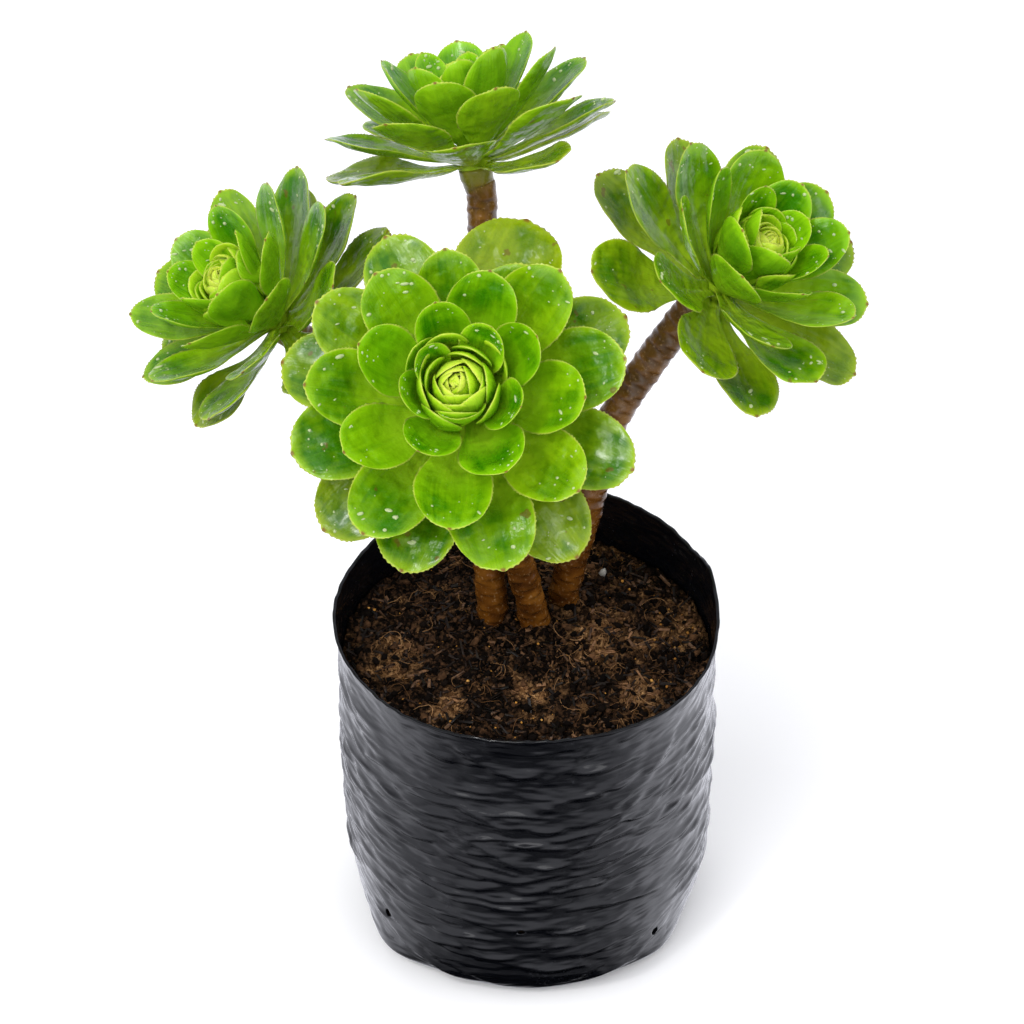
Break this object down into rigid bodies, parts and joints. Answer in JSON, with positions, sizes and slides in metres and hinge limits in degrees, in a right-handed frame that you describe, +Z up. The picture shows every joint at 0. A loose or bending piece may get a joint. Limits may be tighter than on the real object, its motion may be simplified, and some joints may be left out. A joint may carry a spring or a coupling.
{
  "type": "potted rosette succulent",
  "caption": "Branching rosette succulent with fleshy spoon-shaped leaves on bare stems, standing in a black film nursery bag of potting mix.",
  "frame": {"origin": "middle of the bag's flat bottom", "axes": "+Z up along the bag's axis, -Y towards the front head, +X to the right seen from the front"},
  "size_m": [0.2963, 0.2274, 0.3981],
  "materials": {
    "film": "crinkled black polythene film with a satin gloss",
    "soil": "crumbly dark potting mix with fibres and grit",
    "bark": "waxy brown stem ringed with leaf scars",
    "leaf": "glossy fleshy green leaf with a paler edge"
  },
  "bodies": {
    "root": {"nursery_bag": "film", "potting_soil": "soil", "stem_front": "bark", "stem_left": "bark", "stem_right": "bark", "rosette_front": "leaf", "rosette_left": "leaf", "rosette_back": "leaf", "rosette_right": "leaf"}
  },
  "joints": []
}
